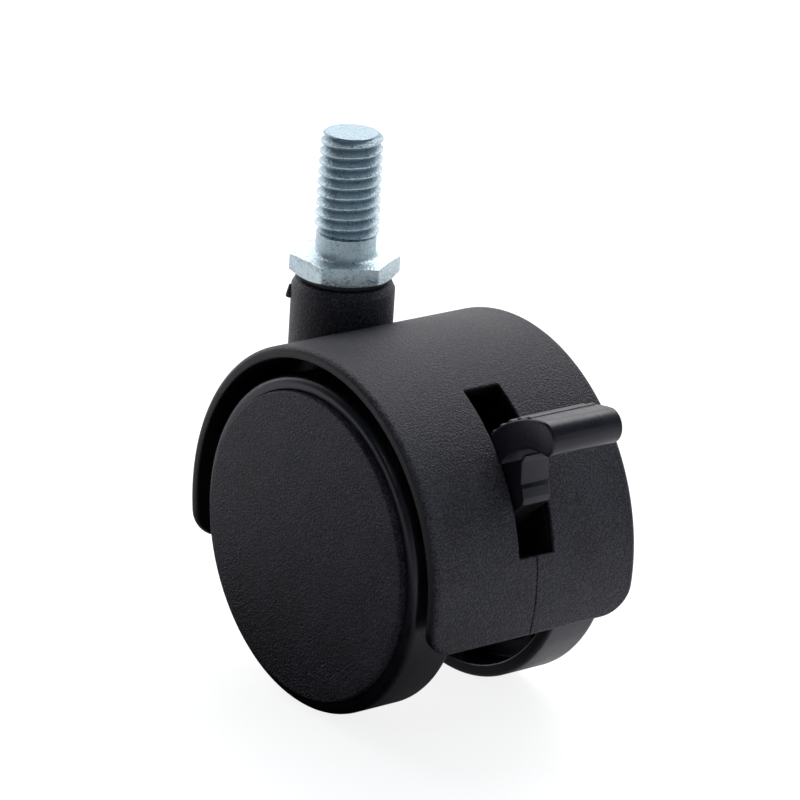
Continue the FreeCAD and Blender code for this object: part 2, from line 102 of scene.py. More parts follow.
# ---------------------------------------------------------------- the part's driving dimensions
stem_radius = 3.88
thread_pitch = 1.25
thread_depth = 0.68
thread_low_z = 3.0
thread_taper = 0.045           # share of the radius that is worn off at the tip
stem_tip_chamfer = 0.7
collar_radius = 3.6
collar_fillet = 0.7
hex_across_flats = 11.5
hex_thickness = 2.35
hex_corner_radius = 6.58
hex_corner_angle = 59.0
hex_bottom_chamfer = 0.4
hex_top_chamfer = 0.1
hex_bottom_inset = 0.15
hex_top_inset = 0.05
hex_edge_round = 0.09
shank_radius = 3.5
ring_groove_z = 8.6
ring_groove_height = 1.2
ring_groove_radius = 2.9
socket_clearance = 0.05
socket_groove_radius = 4.25
socket_groove_height = 1.6

hood_centre_x = 0.25
hood_centre_z = 0.0
hood_outer_radius = 23.6
hood_wall = 1.45
hood_back_angle = -14.9
hood_front_angle = 197.4
hood_corner_radius = 3.8
hood_edge_round = 0.7
hood_inner_edge_round = 0.2
boss_radius = 6.15
boss_top_radius = 5.7
boss_rim_z = 25.05
boss_bottom_z = 4.2
web_inner_y = 2.425
web_outer_y = 4.4
web_bottom_z = -5.2
axle_boss_radius = 4.5
axle_boss_half_width = 7.2
slot_width = 5.1
slot_low_angle = 10.2
slot_high_angle = 61.7
slot_corner_radius = 0.25
slot_edge_round = 0.14
parting_line_width = 0.25
parting_line_depth = 0.2
gate_nib_low_radius = 0.65
gate_nib_high_radius = 0.25
gate_nib_angle = 232.0
gate_nib_low_z = 23.2
gate_nib_high_z = 24.8
cross_wall_x = (-9.0, -6.6)

axle_hole_radius = 2.51
rim_inner_radius = 18.45
wheel_web_y = (11.7, 13.1)
hub_radius = 4.8
hub_inner_y = 7.85
hub_bore_radius = 2.56
brake_ring_radii = (14.87, 16.1)
brake_ring_inner_y = 8.1
tread_shoulder = 0.9
tread_inner_round = 0.5
rib_thickness = 1.1
rib_count = 8
rib_inner_y = 10.9
rim_rib_inner_y = 9.4
cover_crown = 0.4
cover_edge_round = 0.25       # crisper than the 0.4 of the part
cover_skirt_inner_radius = 17.3
cover_disc_inner_y = 14.25
hood_overlap = 0.4
boss_foot_chamfer = 0.6
boss_edge_round = 0.2

grip_rib_count = 5
grip_rib_first_angle = 135.5
grip_rib_pitch_angle = 7.1
grip_rib_radius = 0.45
grip_rib_height = 0.22
grip_rib_half_length = 4.95   # 0.2 longer than in the part, for its rounded ends
grip_rib_end_round = 0.35
pedal_top_centre = (29.855, 9.111)
pedal_top_radius = 13.972
pivot_x = 9.0
pivot_z = 0.0
pivot_hole_radius = 1.25
pivot_bore_radius = 1.3
lever_hub_radius = 3.0
lever_hub_half_width = 2.36
lever_half_width = 2.0
rod_x = 0.87
rod_z = 10.54
rod_radius = 1.5
rod_eye_radius = 2.9
arm_half_height = 1.7
brake_down_travel = 18.0
brake_up_travel = 21.0
window_clearance = 0.4

# ---------------------------------------------------------------- fineness of the meshes
lathe_segments = 192
arc_steps = 6
support = 0.25                # distance from a rounded edge to the loop that keeps a face flat
hood_strip = 1.5              # degrees of the hood's arc in one strip of faces
strip_offset = 0.37           # share of a strip that keeps the cuts off the slot's corners
drill_reach = 20.0
thread_segments = 96
dome_steps = 12


# ================================================================ outlines
def polar(radius, angle, centre_x=0.0, centre_z=0.0):
    turn = math.radians(angle)
    return centre_x + radius * math.cos(turn), centre_z + radius * math.sin(turn)


def arc(radius, start, end, steps, centre_x=0.0, centre_z=0.0):
    """Points of a circular arc between two angles in degrees."""
    return [polar(radius, start + (end - start) * step / steps, centre_x, centre_z)
            for step in range(steps + 1)]


def arc_through(first, middle, last, steps):
    """Points of the circular arc through three points."""
    (ax, ay), (bx, by), (cx, cy) = first, middle, last
    d = 2 * (ax * (by - cy) + bx * (cy - ay) + cx * (ay - by))
    a2, b2, c2 = ax * ax + ay * ay, bx * bx + by * by, cx * cx + cy * cy
    ux = (a2 * (by - cy) + b2 * (cy - ay) + c2 * (ay - by)) / d
    uy = (a2 * (cx - bx) + b2 * (ax - cx) + c2 * (bx - ax)) / d
    start = math.degrees(math.atan2(ay - uy, ax - ux))
    through = math.degrees(math.atan2(by - uy, bx - ux))
    end = math.degrees(math.atan2(cy - uy, cx - ux))
    sweep = (end - start) % 360
    if (through - start) % 360 > sweep:
        sweep -= 360
    return arc(math.hypot(ax - ux, ay - uy), start, start + sweep, steps, ux, uy)


def rounded(corners, steps=arc_steps, keep_flat=True):
    """Closed outline from corners (u, v) or (u, v, rounding radius)."""
    outline = []
    count = len(corners)
    for index, corner in enumerate(corners):
        here = Vector(corner[:2])
        radius = corner[2] if len(corner) > 2 else 0.0
        if radius == 0.0:
            outline.append(tuple(here))
            continue
        before = Vector(corners[index - 1][:2]) - here
        after = Vector(corners[(index + 1) % count][:2]) - here
        room = min(before.length, after.length)
        before.normalize()
        after.normalize()
        half = before.angle(after) / 2
        reach = radius / math.tan(half)
        centre = here + (before + after).normalized() * radius / math.sin(half)
        start = here + before * reach - centre
        turn = math.pi - 2 * half
        sign = 1.0 if before.x * after.y - before.y * after.x < 0 else -1.0
        flat = min(support, (room - reach) * 0.4)
        if keep_flat and flat > 0.02:
            outline.append(tuple(here + before * (reach + flat)))
        for step in range(steps + 1):
            spin = Matrix.Rotation(sign * turn * step / steps, 2)
            outline.append(tuple(centre + spin @ start))
        if keep_flat and flat > 0.02:
            outline.append(tuple(here + after * (reach + flat)))
    return outline


# ================================================================ solids
def solid(bm):
    """Temporary object from a closed bmesh, with its faces turned outwards."""
    bmesh.ops.remove_doubles(bm, verts=bm.verts, dist=1e-5)
    bmesh.ops.recalc_face_normals(bm, faces=bm.faces)
    mesh = bpy.data.meshes.new("draft")
    bm.to_mesh(mesh)
    bm.free()
    shape = bpy.data.objects.new("draft", mesh)
    bpy.context.scene.collection.objects.link(shape)
    return shape


def bridge(bm, ring, next_ring):
    """Quads between two closed rings of the same number of vertices."""
    count = len(ring)
    for index in range(count):
        following = (index + 1) % count
        bm.faces.new((ring[index], ring[following], next_ring[following], next_ring[index]))


def turned(profile, axis="Y", centre=(0.0, 0.0), segments=lathe_segments):
    """Solid of revolution of a closed (radius, height) profile about an axis.

    centre is the axis' place: (x, z) for an axis along Y and (x, y) for one along Z.
    """
    bm = bmesh.new()
    rings = []
    for index in range(segments):
        turn = 2 * math.pi * index / segments
        cos, sin = math.cos(turn), math.sin(turn)
        if axis == "Y":
            ring = [bm.verts.new((centre[0] + r * cos, h, centre[1] + r * sin)) for r, h in profile]
        else:
            ring = [bm.verts.new((centre[0] + r * cos, centre[1] + r * sin, h)) for r, h in profile]
        rings.append(ring)
    for index, ring in enumerate(rings):
        bridge(bm, ring, rings[(index + 1) % segments])
    return solid(bm)


def drill(radius, x=0.0, z=0.0, segments=64):
    """Plain cylinder along Y that cuts a hole right through."""
    return turned([(0, -drill_reach), (radius, -drill_reach), (radius, drill_reach),
                   (0, drill_reach)], "Y", (x, z), segments)


def roller(radius, y_low, y_high, edge_round, x=0.0, z=0.0, segments=96):
    """Cylinder along Y with rounded edges."""
    return turned(rounded([
        (0.0, y_low), (radius, y_low, edge_round), (radius, y_high, edge_round), (0.0, y_high)]),
        "Y", (x, z), segments)


def slab(outline, y_low, y_high, edge_round=0.0, steps=3):
    """Side-view outline extruded along Y, with its two ends' edges rounded."""
    bm = bmesh.new()
    near = [bm.verts.new((x, y_low, z)) for x, z in outline]
    far = [bm.verts.new((x, y_high, z)) for x, z in outline]
    bridge(bm, near, far)
    bm.faces.new(near)
    bm.faces.new(far)
    bmesh.ops.recalc_face_normals(bm, faces=bm.faces)
    if edge_round:
        ends = [edge for edge in bm.edges if abs(edge.verts[0].co.y - edge.verts[1].co.y) < 1e-6]
        bmesh.ops.bevel(bm, geom=ends, offset=edge_round, segments=steps, profile=0.5,
                        affect="EDGES", clamp_overlap=True)
    return solid(bm)


def combine(first, second, operation):
    """Exact Boolean of two temporary objects; the second is used up."""
    modifier = first.modifiers.new("combine", "BOOLEAN")
    modifier.operation = operation
    modifier.solver = "EXACT"
    modifier.object = second
    bpy.context.view_layer.update()
    evaluated = first.evaluated_get(bpy.context.evaluated_depsgraph_get())
    mesh = bpy.data.meshes.new_from_object(evaluated)
    first.modifiers.clear()
    first.data = mesh
    bpy.data.objects.remove(second)
    return first


def join(first, *others):
    for other in others:
        first = combine(first, other, "UNION")
    return first


def cut(first, *others):
    for other in others:
        first = combine(first, other, "DIFFERENCE")
    return first


def keep(first, other):
    return combine(first, other, "INTERSECT")


def cleaned(shape):
    """Merges points that a Boolean left on top of each other and drops faces without area."""
    bm = bmesh.new()
    bm.from_mesh(shape.data)
    bmesh.ops.remove_doubles(bm, verts=bm.verts, dist=2e-4)
    bmesh.ops.dissolve_degenerate(bm, dist=1e-4, edges=bm.edges)
    bm.to_mesh(shape.data)
    bm.free()
    return shape


# ================================================================ stem
def thread_profile():
    """One pitch of the thread as (share of the pitch, radius), from the middle of a crest."""
    crest, root = stem_radius, stem_radius - thread_depth
    rise = 0.3 * thread_depth
    return [(0.0, crest), (0.06, crest - 0.015), (0.12, crest - 0.09), (0.36, root + rise),
            (0.44, root + 0.05), (0.5, root), (0.56, root + 0.05), (0.64, root + rise),
            (0.88, crest - 0.09), (0.94, crest - 0.015)]


def thread():
    """Helical thread, longer than it has to be at both ends, about the stem axis."""
    profile = thread_profile()
    turns = int((stem_high.z - seat_z - thread_low_z) / thread_pitch) + 4
    start_z = seat_z + thread_low_z - 2 * thread_pitch
    bm = bmesh.new()
    columns = []
    for column in range(thread_segments):
        angle = 2 * math.pi * column / thread_segments
        shift = thread_pitch * column / thread_segments
        points = []
        for turn in range(turns):
            for share, full_radius in profile:
                height = start_z + (turn + share) * thread_pitch + shift
                worn = 1.0 - thread_taper * max(
                    0.0, (height - seat_z) / (stem_high.z - seat_z)) ** 2
                radius = full_radius * worn
                points.append(bm.verts.new((
                    stem_x + radius * math.cos(angle), radius * math.sin(angle), height)))
        columns.append(points)
    per_turn = len(profile)
    count = per_turn * turns
    for column in range(thread_segments - 1):
        here, there = columns[column], columns[column + 1]
        for row in range(count - 1):
            bm.faces.new((here[row], there[row], there[row + 1], here[row + 1]))
    last, first = columns[-1], columns[0]
    for row in range(count - per_turn - 1):
        bm.faces.new((last[row], first[row + per_turn], first[row + per_turn + 1], last[row + 1]))
    low_loop = [points[0] for points in columns]
    low_loop += [first[row] for row in range(per_turn, 0, -1)]
    high_loop = [points[-1] for points in columns]
    high_loop += [last[row] for row in range(count - 2, count - per_turn - 1, -1)]
    close_end(bm, low_loop, start_z - thread_pitch)
    close_end(bm, high_loop, start_z + (turns + 2) * thread_pitch)
    return solid(bm)


def close_end(bm, loop, height):
    """Fan from a boundary loop of the thread to a point on the stem axis."""
    tip = bm.verts.new((stem_x, 0.0, height))
    for index, vertex in enumerate(loop):
        following = loop[(index + 1) % len(loop)]
        bm.faces.new((vertex, following, tip))


def hexagon():
    """Hex flange with its turned chamfers and slightly rounded edges."""
    circumradius = hex_across_flats / math.sqrt(3)
    bm = bmesh.new()
    rings = []
    for z in (seat_z - hex_thickness, seat_z):
        corners = [polar(circumradius, hex_corner_angle + 60 * index) for index in range(6)]
        rings.append([bm.verts.new((stem_x + x, y, z)) for x, y in corners])
    bridge(bm, rings[0], rings[1])
    for ring in rings:
        bm.faces.new(ring)
    flat = hex_across_flats / 2
    low = seat_z - hex_thickness
    envelope = turned([
        (0.0, low), (flat - hex_bottom_inset, low), (hex_corner_radius, low + hex_bottom_chamfer),
        (hex_corner_radius, seat_z - hex_top_chamfer), (flat - hex_top_inset, seat_z),
        (0.0, seat_z)], "Z", (stem_x, 0.0))
    shape = keep(solid(bm), envelope)
    return softened(shape, hex_edge_round, 2, 20)


def softened(shape, width, steps, angle):
    """Rounds the edges that are sharper than angle, in degrees."""
    modifier = shape.modifiers.new("soften", "BEVEL")
    modifier.width = width
    modifier.segments = steps
    modifier.limit_method = "ANGLE"
    modifier.angle_limit = math.radians(angle)
    modifier.use_clamp_overlap = True
    bpy.context.view_layer.update()
    evaluated = shape.evaluated_get(bpy.context.evaluated_depsgraph_get())
    mesh = bpy.data.meshes.new_from_object(evaluated)
    shape.modifiers.clear()
    shape.data = mesh
    return shape


def threaded_stem():
    top = stem_high.z
    thread_low = seat_z + thread_low_z
    envelope = turned(rounded([
        (0.0, thread_low), (stem_radius + 0.5, thread_low),
        (stem_radius + 0.5, top - stem_tip_chamfer - 0.5),
        (stem_radius - stem_tip_chamfer, top, 0.12), (0.0, top)]), "Z", (stem_x, 0.0))
    collar_low = seat_z - 0.4
    base = collar_radius + collar_fillet
    fillet = arc(collar_fillet, 270, 180, 8, base, seat_z + collar_fillet)
    neck_radius = stem_radius - thread_depth
    neck = [(collar_radius, thread_low - 0.4), (neck_radius - 0.02, thread_low - 0.12),
            (neck_radius - 0.02, thread_low + 0.3), (0.0, thread_low + 0.3)]
    collar = turned([(0.0, collar_low), (base, collar_low)] + fillet + neck, "Z", (stem_x, 0.0))
    ring_low = ring_groove_z - ring_groove_height / 2
    ring_high = ring_groove_z + ring_groove_height / 2
    shank = turned([
        (0.0, stem_low.z), (1.4, stem_low.z), (2.7, stem_low.z + 0.5),
        (shank_radius, stem_low.z + 1.5), (shank_radius, ring_low),
        (ring_groove_radius, ring_low), (ring_groove_radius, ring_high),
        (shank_radius, ring_high), (shank_radius, seat_z - hex_thickness + 0.4),
        (0.0, seat_z - hex_thickness + 0.4)], "Z", (stem_x, 0.0), 96)
    return cleaned(join(keep(thread(), envelope), collar, hexagon(), shank))


# ================================================================ housing
def rounded_rectangle(low_s, high_s, half_y, radius, steps):
    """Outline of a rectangle in the unrolled hood, lengthways s and crossways y."""
    corners = [(low_s, -half_y, radius), (high_s, -half_y, radius),
               (high_s, half_y, radius), (low_s, half_y, radius)]
    return rounded(corners, steps, keep_flat=False)


def arc_length(angle):
    return math.radians(angle) * hood_outer_radius


def hood_rings():
    """(inset, height) of the rings round the hood's edge, from its inner face to its outer."""
    inner, outer = hood_inner_edge_round, hood_edge_round
    rings = [(inner + support, 0.0)]
    rings += [(inner - inner * math.sin(t), inner - inner * math.cos(t))
              for t in quarter_turn(3)]
    rings += [(outer - outer * math.cos(t), hood_wall - outer + outer * math.sin(t))
              for t in quarter_turn(9)]
    return rings + [(outer + support, hood_wall)]


def slot_rings():
    """(outset, height) of the rings round the slot."""
    rings = [(0.0, 0.0)]
    rings += [(slot_edge_round - slot_edge_round * math.cos(t),
               hood_wall - slot_edge_round + slot_edge_round * math.sin(t))
              for t in quarter_turn(3)]
    return rings + [(slot_edge_round + support, hood_wall)]


def quarter_turn(steps):
    return [math.pi / 2 * step / steps for step in range(steps + 1)]


def ring_stack(bm, outlines):
    """Walls through a stack of outlines; returns the edges of the first and the last."""
    rings = [[bm.verts.new((s, y, height)) for s, y in outline] for outline, height in outlines]
    for index in range(len(rings) - 1):
        bridge(bm, rings[index], rings[index + 1])
    ends = []
    for ring in (rings[0], rings[-1]):
        ends.append([bm.edges.get((ring[i - 1], ring[i])) for i in range(len(ring))])
    return ends


def hood():
    """The curved guard, drawn flat with its slot, cut into strips and then wrapped."""
    low_s, high_s = arc_length(hood_back_angle), arc_length(hood_front_angle)
    slot_low, slot_high = arc_length(slot_low_angle), arc_length(slot_high_angle)
    bm = bmesh.new()
    outer = [(rounded_rectangle(low_s + inset, high_s - inset, hood_half_width - inset,
                                hood_corner_radius - inset, 12), height)
             for inset, height in hood_rings()]
    slot = [(rounded_rectangle(slot_low - outset, slot_high + outset, slot_width / 2 + outset,
                               slot_corner_radius + outset, 4), height)
            for outset, height in slot_rings()]
    for outer_end, slot_end in zip(ring_stack(bm, outer), ring_stack(bm, slot)):
        bmesh.ops.triangle_fill(bm, use_beauty=True, edges=outer_end + slot_end)
    flat = solid(bm)
    flat = cut(flat, parting_groove(low_s, slot_low))
    return wrapped(flat, low_s, high_s)


def parting_groove(low_s, slot_low):
    """V-shaped mould line from the slot to the hood's lower edge, in the unrolled hood."""
    bm = bmesh.new()
    half = parting_line_width / 2
    ends = []
    for s in (low_s - 1.0, slot_low + 0.5):
        ends.append([bm.verts.new((s, y, z)) for y, z in (
            (-2 * half, hood_wall + parting_line_depth), (0.0, hood_wall - parting_line_depth),
            (2 * half, hood_wall + parting_line_depth))])
    bridge(bm, ends[0], ends[1])
    for end in ends:
        bm.faces.new(end)
    return solid(bm)


def wrapped(flat, low_s, high_s):
    """Cuts the unrolled hood into strips and bends it round the hood's axis."""
    bm = bmesh.new()
    bm.from_mesh(flat.data)
    step = arc_length(hood_strip)
    count = int((high_s - low_s) / step)
    for index in range(1, count + 1):
        bmesh.ops.bisect_plane(
            bm, geom=list(bm.verts) + list(bm.edges) + list(bm.faces), dist=1e-5,
            plane_co=(low_s + (index - strip_offset) * step, 0, 0), plane_no=(1, 0, 0))
    inner = hood_outer_radius - hood_wall
    for vertex in bm.verts:
        s, y, height = vertex.co
        x, z = polar(inner + height, math.degrees(s / hood_outer_radius),
                     hood_centre_x, hood_centre_z)
        vertex.co = (x, y, z)
    bpy.data.objects.remove(flat)
    return solid(bm)


def web_wall(side):
    """Wall under the hood that carries the axle, the pivot pin and the stem boss."""
    radius = hood_outer_radius - hood_wall + hood_overlap
    low = math.degrees(math.asin((web_bottom_z - hood_centre_z) / radius))
    outline = arc(radius, low, 180 - low, 90, hood_centre_x, hood_centre_z)
    near, far = sorted((side * web_inner_y, side * web_outer_y))
    wall = slab(outline, near, far)
    near, far = sorted((side * web_inner_y, side * axle_boss_half_width))
    return join(wall, roller(axle_boss_radius, near, far, boss_edge_round))


def cross_wall():
    """Stiffening wall between the two web walls, in front of the stem boss."""
    radius = hood_outer_radius - hood_wall + hood_overlap
    tops = [(x, hood_centre_z + math.sqrt(radius ** 2 - (x - hood_centre_x) ** 2))
            for x in cross_wall_x]
    low = web_bottom_z + 2.0
    outline = [(cross_wall_x[0], low), (cross_wall_x[1], low), tops[1], tops[0]]
    return slab(outline, -web_inner_y - 0.2, web_inner_y + 0.2)


def stem_boss():
    profile = rounded([
        (0.0, boss_bottom_z), (boss_radius - boss_foot_chamfer, boss_bottom_z),
        (boss_radius, boss_bottom_z + boss_foot_chamfer),
        (boss_radius, boss_rim_z, 0.12), (boss_top_radius, boss_top_z, 0.1), (0.0, boss_top_z)])
    boss = turned(profile, "Z", (stem_x, 0.0))
    nib_x, nib_y = polar(boss_radius, gate_nib_angle, stem_x)
    nib = turned(rounded([
        (0.0, gate_nib_low_z), (gate_nib_low_radius, gate_nib_low_z, 0.2),
        (gate_nib_high_radius, gate_nib_high_z, 0.1), (0.0, gate_nib_high_z)]),
        "Z", (nib_x, nib_y), 48)
    return join(boss, nib)


def stem_socket():
    radius = shank_radius + socket_clearance
    groove_low = ring_groove_z - socket_groove_height / 2
    groove_high = ring_groove_z + socket_groove_height / 2
    low = stem_low.z - 0.3
    return turned([
        (0.0, low), (radius, low), (radius, groove_low), (socket_groove_radius, groove_low),
        (socket_groove_radius, groove_high), (radius, groove_high), (radius, boss_top_z + 1),
        (0.0, boss_top_z + 1)], "Z", (stem_x, 0.0), 96)


def rod_window(side):
    """Curved opening in a web wall for the travel of the brake rod."""
    reach = math.hypot(rod_x - pivot_x, rod_z - pivot_z)
    start = math.degrees(math.atan2(rod_z - pivot_z, rod_x - pivot_x))
    half = rod_radius + window_clearance
    low, high = start - brake_down_travel, start + brake_up_travel
    low_x, low_z = polar(reach, low, pivot_x, pivot_z)
    high_x, high_z = polar(reach, high, pivot_x, pivot_z)
    outline = arc(reach + half, low, high, 24, pivot_x, pivot_z)
    outline += arc(half, high, high + 180, 16, high_x, high_z)[1:]
    outline += arc(reach - half, high, low, 24, pivot_x, pivot_z)[1:]
    outline += arc(half, low + 180, low + 360, 16, low_x, low_z)[1:-1]
    near, far = sorted((side * (web_inner_y - 0.5), side * (web_outer_y + 0.5)))
    return slab(outline, near, far)


def housing():
    inside = join(web_wall(1), web_wall(-1), cross_wall(), stem_boss())
    inside = cut(inside, rod_window(1), rod_window(-1),
                 drill(axle_hole_radius, segments=96),
                 drill(pivot_hole_radius, pivot_x, pivot_z))
    return cleaned(cut(join(hood(), inside), stem_socket()))


# ================================================================ wheels
def wheel(side):
    """Tread, web, hub and brake ring in one turned shape, with the ribs joined to it."""
    web_in, web_out = wheel_web_y
    ring_in, ring_out = brake_ring_radii
    profile = rounded([
        (hub_bore_radius, hub_inner_y, 0.15), (hub_radius, hub_inner_y, 0.25),
        (hub_radius, web_in, 0.3), (ring_in, web_in, 0.3),
        (ring_in, brake_ring_inner_y, 0.2), (ring_out, brake_ring_inner_y, 0.2),
        (ring_out, web_in, 0.3), (rim_inner_radius, web_in, 0.3),
        (rim_inner_radius, wheel_inner_y, 0.25), (wheel_radius, wheel_inner_y, tread_inner_round),
        (wheel_radius, wheel_outer_y, tread_shoulder), (rim_inner_radius, wheel_outer_y, 0.12),
        (rim_inner_radius, web_out, 0.2), (hub_bore_radius, web_out, 0.15)])
    shape = turned([(r, side * y) for r, y in profile])
    for index in range(rib_count):
        shape = join(shape, rib(side, index, hub_radius - 0.4, ring_in + 0.5, rib_inner_y),
                     rib(side, index, ring_out - 0.4, rim_inner_radius + 0.4, rim_rib_inner_y))
    return cleaned(shape)


def rib(side, index, radius_low, radius_high, inner_y):
    """One radial rib standing on the wheel's web."""
    turn = math.radians(360.0 * index / rib_count)
    out = Vector((math.cos(turn), 0.0, math.sin(turn)))
    across = Vector((-math.sin(turn), 0.0, math.cos(turn))) * rib_thickness / 2
    bm = bmesh.new()
    rings = []
    for y in (inner_y, wheel_web_y[0] + 0.3):
        depth = Vector((0.0, side * y, 0.0))
        rings.append([bm.verts.new(out * r + across * w + depth) for r, w in (
            (radius_low, -1), (radius_high, -1), (radius_high, 1), (radius_low, 1))])
    bridge(bm, rings[0], rings[1])
    for ring in rings:
        bm.faces.new(ring)
    return solid(bm)


def wheel_cover(side):
    """Press-in disc with a slightly domed face, a rounded rim and a short skirt."""
    rim_y = cover_outer_y - cover_crown
    edge_r = cover_radius - cover_edge_round
    profile = rounded([
        (0.0, cover_disc_inner_y), (cover_skirt_inner_radius, cover_disc_inner_y),
        (cover_skirt_inner_radius, cover_inner_y), (cover_radius, cover_inner_y, 0.25),
        (cover_radius, rim_y, cover_edge_round), (0.0, rim_y)])
    profile = [point for point in profile if point[1] < rim_y or point[0] >= edge_r - 1e-6]
    for step in range(1, dome_steps + 1):
        r = edge_r * (1 - step / dome_steps)
        profile.append((r, rim_y + cover_crown * (1 - (r / cover_radius) ** 2)))
    return turned([(r, side * y) for r, y in profile])


# ================================================================ brake lever
def pedal():
    """Curved cross bar of the pedal, rounded at both ends, with grip ribs on its top face."""
    root_top, tip_top = (19.6, 18.6), (28.9, 23.05)
    tip_low, root_low = (29.7, 19.15), (21.9, 15.75)
    outline = arc_through(root_top, (23.9, 21.75), tip_top, 24)
    outline += arc_through(tip_top, (30.72, 21.3), tip_low, 14)[1:]
    outline += arc_through(tip_low, (25.7, 18.75), root_low, 20)[1:]
    shape = slab(outline, -pedal_half_width, pedal_half_width, 0.7, 5)
    for index in range(grip_rib_count):
        angle = grip_rib_first_angle - index * grip_rib_pitch_angle
        x, z = polar(pedal_top_radius - grip_rib_radius + grip_rib_height, angle, *pedal_top_centre)
        shape = join(shape, roller(grip_rib_radius, -grip_rib_half_length, grip_rib_half_length,
                                   grip_rib_end_round, x, z, 32))
    return shape


def brake_lever():
    leg = slab(rounded([
        (22.5, 16.3), (22.0, 15.5, 0.6), (22.15, 12.75, 0.25), (22.5, 12.35, 0.2),
        (22.75, 11.2, 0.3), (22.65, 10.4, 0.3), (22.2, 9.95, 0.3), (20.1, 8.05, 1.5),
        (11.6, -1.5), (8.0, 2.8), (14.2, 13.0, 3.0), (20.2, 18.0)], 5, keep_flat=False),
        -lever_half_width, lever_half_width, 0.3)
    hub = roller(lever_hub_radius, -lever_hub_half_width, lever_hub_half_width, boss_edge_round,
                 pivot_x, pivot_z)
    eye = roller(rod_eye_radius, -lever_half_width, lever_half_width, boss_edge_round, rod_x, rod_z)
    along = Vector((rod_x - pivot_x, rod_z - pivot_z)).normalized()
    side_x, side_z = -along.y * arm_half_height, along.x * arm_half_height
    arm = slab([
        (pivot_x + side_x, pivot_z + side_z), (rod_x + side_x, rod_z + side_z),
        (rod_x - side_x, rod_z - side_z), (pivot_x - side_x, pivot_z - side_z)],
        -lever_half_width, lever_half_width, 0.25)
    lever = join(pedal(), leg, hub, eye, arm)
    return cleaned(cut(lever, drill(pivot_bore_radius, pivot_x, pivot_z),
                       drill(rod_radius, rod_x, rod_z)))


# ================================================================ thrust washer
def thrust_washer():
    outer = (washer_high.x - washer_low.x) / 2
    bore = shank_radius + 0.08
    return turned(rounded([
        (bore, washer_low.z, 0.08), (outer, washer_low.z, 0.12),
        (outer, washer_high.z, 0.12), (bore, washer_high.z, 0.08)]), "Z", (stem_x, 0.0))


# ================================================================ materials
nylon_tint = (0.88, 0.86, 1.0, 1.0)
grain_shadow = (0.001, 0.001, 0.0015)
grain_pebble_mm = 0.25
grain_speck_mm = 0.17


def node_material(name, roughness, metallic=0.0):
    """New material; returns its tree, its shader and the object coordinates."""
    material = bpy.data.materials.new(name)
    material.use_nodes = True
    tree = material.node_tree
    shader = tree.nodes["Principled BSDF"]
    shader.inputs["Roughness"].default_value = roughness
    shader.inputs["Metallic"].default_value = metallic
    coords = tree.nodes.new("ShaderNodeTexCoord").outputs["Object"]
    return material, tree, shader, coords


def noise(tree, coords, feature_mm, detail=3.0, roughness=0.55, stretch=None):
    """Noise whose features are about feature_mm across; stretch scales the coordinates."""
    if stretch:
        mapping = tree.nodes.new("ShaderNodeMapping")
        mapping.inputs["Scale"].default_value = stretch
        tree.links.new(coords, mapping.inputs["Vector"])
        coords = mapping.outputs["Vector"]
    node = tree.nodes.new("ShaderNodeTexNoise")
    node.inputs["Scale"].default_value = 1.0 / (feature_mm * MM)
    node.inputs["Detail"].default_value = detail
    node.inputs["Roughness"].default_value = roughness
    tree.links.new(coords, node.inputs["Vector"])
    return node.outputs["Fac"]


def cells(tree, coords, feature_mm):
    """Rounded pebbles of a moulded grain."""
    node = tree.nodes.new("ShaderNodeTexVoronoi")
    node.feature = "SMOOTH_F1"
    node.inputs["Scale"].default_value = 1.0 / (feature_mm * MM)
    node.inputs["Smoothness"].default_value = 0.6
    tree.links.new(coords, node.inputs["Vector"])
    return node.outputs["Distance"]


def colour_ramp(tree, factor, stops):
    node = tree.nodes.new("ShaderNodeValToRGB")
    elements = node.color_ramp.elements
    for element, (position, colour) in zip(elements, stops):
        element.position = position
        element.color = (*colour, 1.0)
    for position, colour in stops[2:]:
        elements.new(position).color = (*colour, 1.0)
    tree.links.new(factor, node.inputs["Fac"])
    return node.outputs["Color"]


def remap(tree, value, from_low, from_high, to_low, to_high):
    node = tree.nodes.new("ShaderNodeMapRange")
    for name, number in (("From Min", from_low), ("From Max", from_high),
                         ("To Min", to_low), ("To Max", to_high)):
        node.inputs[name].default_value = number
    tree.links.new(value, node.inputs["Value"])
    return node.outputs["Result"]


def maths(tree, operation, first, second):
    node = tree.nodes.new("ShaderNodeMath")
    node.operation = operation
    for socket, value in zip(node.inputs, (first, second)):
        if isinstance(value, (int, float)):
            socket.default_value = value
        else:
            tree.links.new(value, socket)
    return node.outputs["Value"]


def weighted(tree, first, first_share, second, second_share):
    """Sum of two values, each times its share."""
    return maths(tree, "ADD", maths(tree, "MULTIPLY", first, first_share),
                 maths(tree, "MULTIPLY", second, second_share))


def bump(tree, shader, height, depth_mm, below=None):
    """Adds a bump of that depth to the shader, on top of an earlier one."""
    node = tree.nodes.new("ShaderNodeBump")
    node.inputs["Strength"].default_value = 1.0
    node.inputs["Distance"].default_value = depth_mm * MM
    tree.links.new(height, node.inputs["Height"])
    if below is not None:
        tree.links.new(below, node.inputs["Normal"])
    tree.links.new(node.outputs["Normal"], shader.inputs["Normal"])
    return node.outputs["Normal"]


